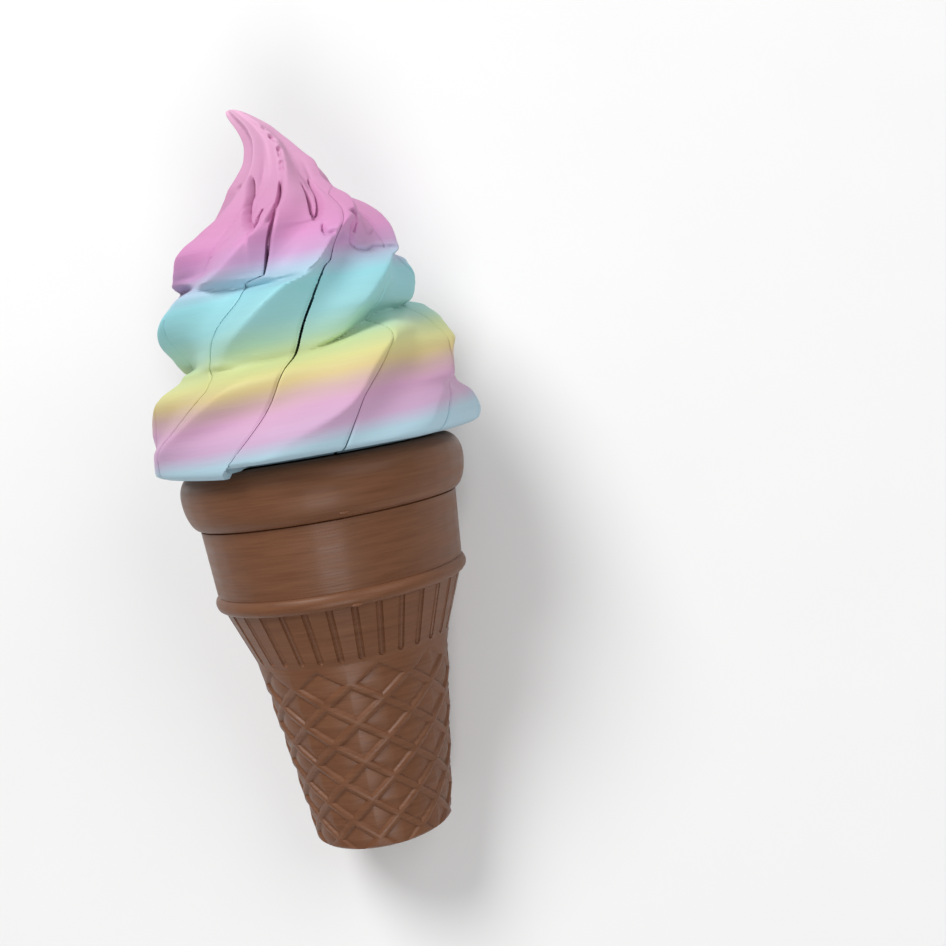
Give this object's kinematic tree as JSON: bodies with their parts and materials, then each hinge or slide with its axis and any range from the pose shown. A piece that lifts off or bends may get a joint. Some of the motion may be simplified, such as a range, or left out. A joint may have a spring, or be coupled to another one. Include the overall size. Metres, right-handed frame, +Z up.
{
  "type": "toy ice cream cone",
  "caption": "Printed plastic toy ice cream lying on its side: a brown cup cone with a waffle wall and flutes under a pastel soft-serve swirl divided by twisted slits.",
  "frame": {"origin": "centre of the lying toy's bounding box, at the surface it rests on", "axes": "+Y from the cone's foot towards the swirl's tip, +Z up, the side that shows facing up"},
  "size_m": [0.0728, 0.1602, 0.0706],
  "materials": {
    "cone": "satin",
    "swirl": "matte"
  },
  "bodies": {
    "root": {"cone": "cone", "swirl_core": "swirl", "swirl_petal_1": "swirl", "swirl_petal_2": "swirl", "swirl_petal_3": "swirl", "swirl_petal_4": "swirl", "swirl_petal_5": "swirl"}
  },
  "joints": []
}
